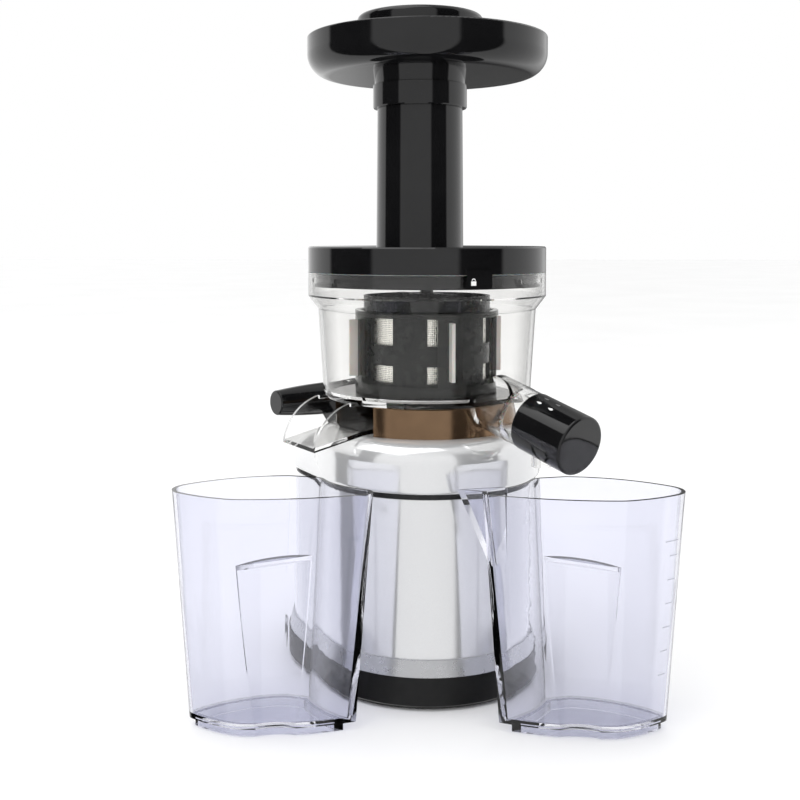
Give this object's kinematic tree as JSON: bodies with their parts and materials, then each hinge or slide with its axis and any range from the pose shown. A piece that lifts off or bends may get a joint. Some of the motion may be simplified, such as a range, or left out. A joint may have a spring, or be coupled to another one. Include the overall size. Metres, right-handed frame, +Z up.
{
  "type": "vertical slow juicer",
  "caption": "Upright slow juicer: clear bowl with auger and strainer on a silver motor base, black lid, feed tube and hopper, side spout and chute, clear juice jug and pulp container.",
  "frame": {"origin": "on the bowl's and auger's axis, at the counter plane under the rubber sole", "axes": "+Z up along the auger; -Y towards the user; the juice spout points to azimuth -50 degrees from +X and the carry handle lies across the rear at 128 degrees"},
  "size_m": [0.2752, 0.2307, 0.3915],
  "materials": {
    "black_gloss": "gloss",
    "black_matte": "matte",
    "silver_shell": "satin",
    "silver_trim": "satin",
    "clear_bowl": "clear",
    "clear_cup": "clear",
    "smoke_cage": "translucent",
    "strainer_dark": "satin",
    "steel_mesh": "perforated",
    "steel": "ground",
    "silicone": "soft",
    "rubber": "matte",
    "gear_nylon": "satin",
    "magnet": "ground",
    "copper": "turned",
    "zinc": "cast",
    "deck_smoke": "gloss",
    "board_green": "solder mask"
  },
  "bodies": {
    "base": {"foot_sole": "rubber", "bottom_cover": "black_matte", "cover_screws": "steel", "trim_band": "silver_trim", "column_shell": "silver_shell", "groove_ring": "rubber", "shoulder_shell": "silver_shell", "deck_collar": "deck_smoke", "carry_handle": "black_gloss", "cord_inlet": "rubber", "switch_bezel": "black_matte", "motor_mount": "rubber", "motor_can": "zinc", "field_magnets": "magnet", "motor_end_cap": "black_matte", "motor_bearings": "steel", "counter_pin": "steel", "gearbox_housing": "zinc", "gearbox_cover": "zinc", "gearbox_screws": "steel", "shaft_bearings": "steel", "bearing_spacer": "zinc", "shaft_seal": "rubber", "control_board": "board_green", "board_parts": "black_matte"},
    "rotor": {"motor_shaft": "steel", "armature": "steel", "commutator": "copper", "motor_pinion": "steel"},
    "countershaft": {"counter_wheel": "gear_nylon", "counter_pinion": "steel"},
    "output": {"output_wheel": "gear_nylon", "output_shaft": "steel"},
    "switch": {"rocker_switch": "black_gloss"},
    "bowl": {"bowl_shell": "clear_bowl", "bowl_seal": "silicone", "idler_pin": "steel", "pulp_chute": "clear_bowl", "strainer_frame": "strainer_dark", "strainer_mesh": "steel_mesh", "tap_barrel": "clear_bowl"},
    "idler": {"idler_gear": "gear_nylon"},
    "auger": {"auger_screw": "strainer_dark", "auger_gear": "strainer_dark", "drive_socket": "steel"},
    "brush": {"ring_gear": "smoke_cage", "brush_cage": "smoke_cage", "brush_wipers": "silicone"},
    "lid": {"lid_cover": "black_gloss", "lid_bush": "gear_nylon", "lid_gasket": "silicone", "feed_tube": "black_gloss"},
    "tray": {"hopper_tray": "black_gloss"},
    "pusher": {"pusher_cap": "black_gloss", "pusher_rod": "black_gloss"},
    "tap": {"tap_cap": "black_gloss", "tap_plug": "silicone"},
    "pulp_cup": {"pulp_container": "clear_cup"},
    "jug": {"juice_jug": "clear_cup"}
  },
  "joints": [
    {"name": "motor_spin", "type": "hinge", "parent": "base", "child": "rotor", "pos_m": [-0.00831, 0.01064, 0.05], "axis": [0, 0, 1], "continuous": true},
    {"name": "countershaft_spin", "type": "hinge", "parent": "base", "child": "countershaft", "pos_m": [-0.03048, 0.03901, 0.1], "axis": [0, 0, 1], "continuous": true},
    {"name": "output_spin", "type": "hinge", "parent": "base", "child": "output", "pos_m": [0, 0, 0.14], "axis": [0, 0, 1], "continuous": true},
    {"name": "auger_spin", "type": "hinge", "parent": "bowl", "child": "auger", "pos_m": [0, 0, 0.2], "axis": [0, 0, 1], "continuous": true},
    {"name": "idler_spin", "type": "hinge", "parent": "bowl", "child": "idler", "pos_m": [0.02264, 0.01471, 0.174], "axis": [0, 0, 1], "continuous": true},
    {"name": "brush_spin", "type": "hinge", "parent": "bowl", "child": "brush", "pos_m": [0, 0, 0.2], "axis": [0, 0, 1], "continuous": true},
    {"name": "power_switch", "type": "hinge", "parent": "base", "child": "switch", "pos_m": [-0.05978, 0.07652, 0.074], "axis": [-0.788, -0.6157, 0], "range_deg": [-9, 9]},
    {"name": "bowl_lift", "type": "slide", "parent": "base", "child": "bowl", "axis": [0, 0, 1], "range_m": [0, 0.08]},
    {"name": "lid_twist", "type": "hinge", "parent": "bowl", "child": "lid", "pos_m": [0, 0, 0.25], "axis": [0, 0, 1], "range_deg": [0, 30]},
    {"name": "tray_lift", "type": "slide", "parent": "lid", "child": "tray", "axis": [0, 0, 1], "range_m": [0, 0.05]},
    {"name": "pusher_slide", "type": "slide", "parent": "tray", "child": "pusher", "axis": [0, 0, 1], "range_m": [0, 0.12]},
    {"name": "tap_turn", "type": "hinge", "parent": "bowl", "child": "tap", "pos_m": [0.08035, -0.09576, 0.155], "axis": [-0.6237, 0.7433, 0.2419], "range_deg": [0, 90]},
    {"name": "pulp_cup_slide", "type": "slide", "parent": "base", "child": "pulp_cup", "axis": [-0.7071, -0.7071, 0], "range_m": [0, 0.12]},
    {"name": "jug_slide", "type": "slide", "parent": "base", "child": "jug", "axis": [0.7071, -0.7071, 0], "range_m": [0, 0.12]}
  ],
  "couplings": [
    {"joint": "countershaft_spin", "follows": "motor_spin", "ratio": -0.2},
    {"joint": "output_spin", "follows": "motor_spin", "ratio": 0.044444},
    {"joint": "auger_spin", "follows": "motor_spin", "ratio": 0.044444},
    {"joint": "idler_spin", "follows": "motor_spin", "ratio": -0.055556},
    {"joint": "brush_spin", "follows": "motor_spin", "ratio": -0.017094}
  ]
}
